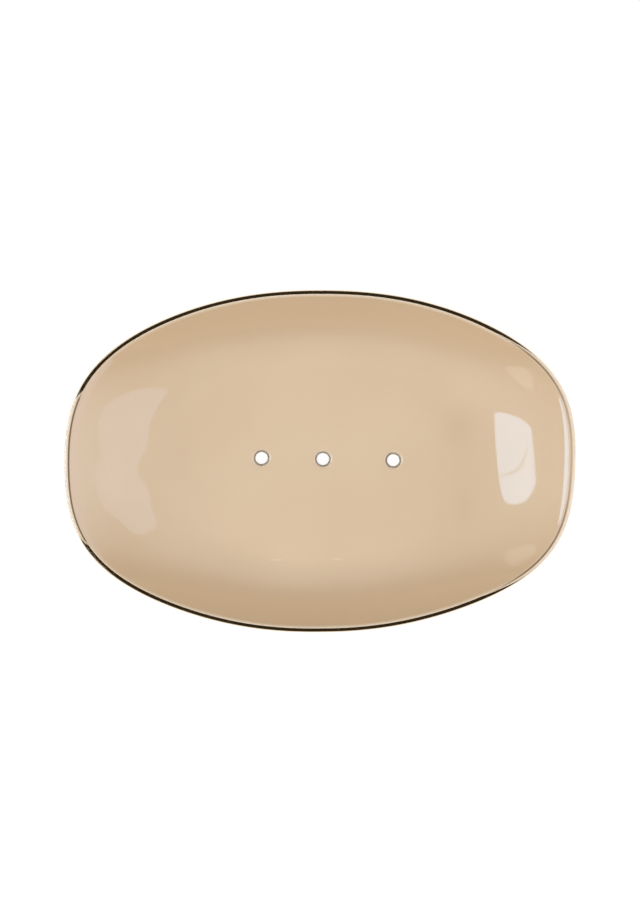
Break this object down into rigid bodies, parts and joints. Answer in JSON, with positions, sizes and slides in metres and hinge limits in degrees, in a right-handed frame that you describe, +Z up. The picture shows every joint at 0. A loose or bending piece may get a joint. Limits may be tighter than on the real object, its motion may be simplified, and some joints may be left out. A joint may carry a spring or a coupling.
{
  "type": "soap dish",
  "caption": "Oval hand-formed metal soap dish with a rounded gold-toned rim, beige enamel lining, drain holes in a row and padded feet.",
  "frame": {"origin": "on the bench, under the middle of the dish's box", "axes": "+X along the dish's length, +Y across it, +Z up; the row of drain holes runs along X with its wide gap towards +X"},
  "size_m": [0.14, 0.094, 0.02],
  "materials": {
    "polished_brass": "polished",
    "enamel": "gloss",
    "silicone": "satin"
  },
  "bodies": {
    "root": {"metal_shell": "polished_brass", "enamel_lining": "enamel", "foot_front_left": "polished_brass", "foot_front_right": "polished_brass", "foot_back_left": "polished_brass", "foot_back_right": "polished_brass", "pad_front_left": "silicone", "pad_front_right": "silicone", "pad_back_left": "silicone", "pad_back_right": "silicone"}
  },
  "joints": []
}
